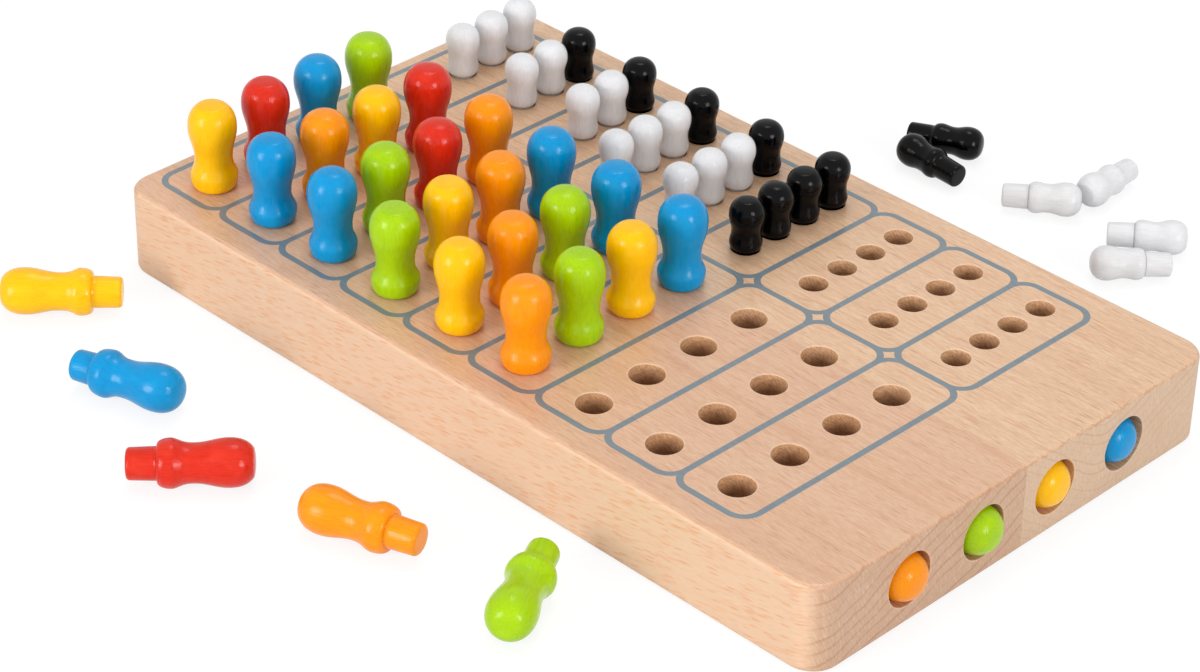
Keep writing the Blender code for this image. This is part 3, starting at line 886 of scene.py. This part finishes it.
# The hidden code's pegs
# Four more of the same turned and lacquered pegs, pushed shank first into the stepped bores in the end.
# Their heads stand out of it by a few mm, each by its own length.
stand_outs = (3.7, 4.3, 2.8, 2.2)
for column, colour in enumerate(("orange", "green", "yellow", "blue")):
    node = f"code_peg_{column + 1}_{colour}"
    piece = turned_peg("turned_" + node, guess_turning, 200 + column, guess_lacquers[colour])
    lying_in = np.eye(4)
    lying_in[:3, :3] = [[0, 0, 1], [0, 1, 0], [-1, 0, 0]]
    foot_x = board_length / 2 / mm + stand_outs[column] - guess_turning.height
    lying_in[:3, 3] = (foot_x, code_y[column] / mm, code_z / mm)
    set_down(piece, lying_in)
    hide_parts(node)
    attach(piece, node + "_body")

# The spare guess pegs
# Five loose pegs, turned and dipped like the standing ones, lie on the table by the near long side, each
# on its head and the edge of its foot. Their shanks differ in length, and their heads are drawn a hair
# smaller, so that the game keeps within the overall box of its solids.


def lying(head, foot, head_at, foot_at, x, y, heading):
    """The frame of a peg on its side, from the radii and the heights in mm of its head and of its foot's
    edge. It leans by atan((head - foot) / (head_at - foot_at)), its head points along the heading in
    degrees with its centre over x, y, and the head's lowest point is on the table."""
    lean = math.atan2(head - foot, head_at - foot_at)
    turn = math.radians(heading)
    tip = math.pi / 2 - lean
    cos_z, sin_z = math.cos(turn), math.sin(turn)
    cos_y, sin_y = math.cos(tip), math.sin(tip)
    about_z = np.array([[cos_z, -sin_z, 0], [sin_z, cos_z, 0], [0, 0, 1]])
    about_y = np.array([[cos_y, 0, sin_y], [0, 1, 0], [-sin_y, 0, cos_y]])
    frame_in_mm = np.eye(4)
    frame_in_mm[:3, :3] = about_z @ about_y
    centre = frame_in_mm[:3, :3] @ (0, 0, head_at)
    frame_in_mm[:3, 3] = (x - centre[0], y - centre[1], head * math.sin(tip) - centre[2])
    return frame_in_mm


half_length = board_length / 2 / mm
half_width = board_width / 2 / mm
head_across = 2 * guess_turning.head
# Each peg as its colour, the place of its head along the board in half its lengths, the distance of its
# head out from the board's side in heads, its heading in degrees and its shank's length
spare_guess_pegs = (
    ("yellow", -0.993, 2.58, -133.9, 8.7),
    ("blue", -0.518, 2.87, 19.3, 7.5),
    ("red", -0.216, 3.49, 46.6, 8.5),
    ("orange", 0.037, 3.17, -161.2, 9.0),
    ("green", 0.515, 2.84, -61.1, 9.0),
)
for number, (colour, along_share, heads_out, heading, shank_length) in enumerate(spare_guess_pegs):
    node = "spare_guess_peg_" + colour
    lying_turning = guess_turning._replace(height=26.75, head=6.88, shank_length=shank_length)
    piece = turned_peg("turned_" + node, lying_turning, 300 + number, guess_lacquers[colour])
    x, y = along_share * half_length, -half_width - heads_out * head_across
    head, foot = guess_turning.head, guess_turning.foot
    set_down(piece, lying(head, foot, head_at=18.9, foot_at=3.24, x=x, y=y, heading=heading))
    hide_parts(node)
    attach(piece, node + "_body")

# The key pegs that stand in the board
# The same turned shape at a smaller size, with a shorter body and a flatter top, dipped in black or white
# lacquer. The black is smoother and has less haze than the colours.
key_turning = Turning(
    height=16.0,
    head=5.25,
    waist=4.35,
    foot=4.85,
    head_at=0.68,
    waist_at=0.37,
    foot_at=0.13,
    foot_round=1.7,
    shoulder=1.4,
    cap=2.7,
    flat=0.45,
    shank=3.75,
    shank_length=8.2,
    chamfer=0.7,
)
key_lacquers = {
    "white": dipped_lacquer("white_lacquer_on_wood", "#E2E2E4", "#DADADC", "#E8E8EB", foot_corner_dark_share=0.2),
    "black": dipped_lacquer(
        "black_lacquer_on_wood",
        "#040406",
        "#020203",
        "#08080B",
        foot_corner_dark_share=0.2,
        shine=0.13,
        smoothest=0.10,
        roughest=0.16,
    ),
}
key_rows = {
    4: ("black", "black", "black", "black"),
    5: ("white", "white", "white", "black"),
    6: ("white", "white", "white", "black"),
    7: (None, "white", "white", "black"),
    8: (None, "white", "white", "black"),
    9: (None, "white", "white", "white"),
}
for row, colours in key_rows.items():
    for column, colour in enumerate(colours):
        if colour:
            node = f"key_peg_row{row}_{column + 1}_{colour}"
            number = 400 + 10 * row + column
            piece = turned_peg("turned_" + node, key_turning, number, key_lacquers[colour])
            set_down(piece, standing(row_x[row - 1] / mm, key_y[column] / mm))
            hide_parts(node)
            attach(piece, node + "_body")

# The spare key pegs
# Six loose pegs, turned and dipped like the standing ones, lie on the table beyond the far long side, two
# black and four white. Two of them take their places from a neighbour's head. The last white one is in no
# node of the frame, so it goes with the board.
key_head_across = 2 * key_turning.head
crown_over_head = 5.12
black_front = np.array([-0.108 * half_length, half_width + 5.00 * key_head_across])
white_left = np.array([0.267 * half_length, half_width + 6.05 * key_head_across])
white_right = np.array([0.529 * half_length, half_width + 6.60 * key_head_across])


def beside(neighbour, gap, direction):
    """The head's centre next to a neighbour's: half a head, the crown over the head's centre and the gap
    away, in a direction in degrees."""
    turn = math.radians(direction)
    apart = key_head_across / 2 + crown_over_head + gap
    return neighbour + apart * np.array([math.cos(turn), math.sin(turn)])


spare_key_pegs = (
    ("spare_key_peg_black_front", "black", black_front, 176.9),
    ("spare_key_peg_white_left", "white", white_left, 33.4),
    ("spare_key_peg_white_right", "white", white_right, 36.0),
    ("spare_key_peg_black_back", "black", beside(black_front, 7.4, 61.0), 21.2),
    ("spare_key_peg_white_back", "white", beside(white_left, 0.8, 78.7), -86.7),
    ("spare_key_peg_white_front", "white", (67.4, 123.5), -132.2),
)
for number, (node, colour, (x, y), heading) in enumerate(spare_key_pegs):
    piece = turned_peg("turned_" + node, key_turning, 500 + number, key_lacquers[colour])
    head, foot = key_turning.head, key_turning.foot
    set_down(piece, lying(head, foot, head_at=10.88, foot_at=2.24, x=x, y=y, heading=heading))
    if node == "spare_key_peg_white_front":
        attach(piece, "board")
    else:
        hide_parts(node)
        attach(piece, node + "_body")
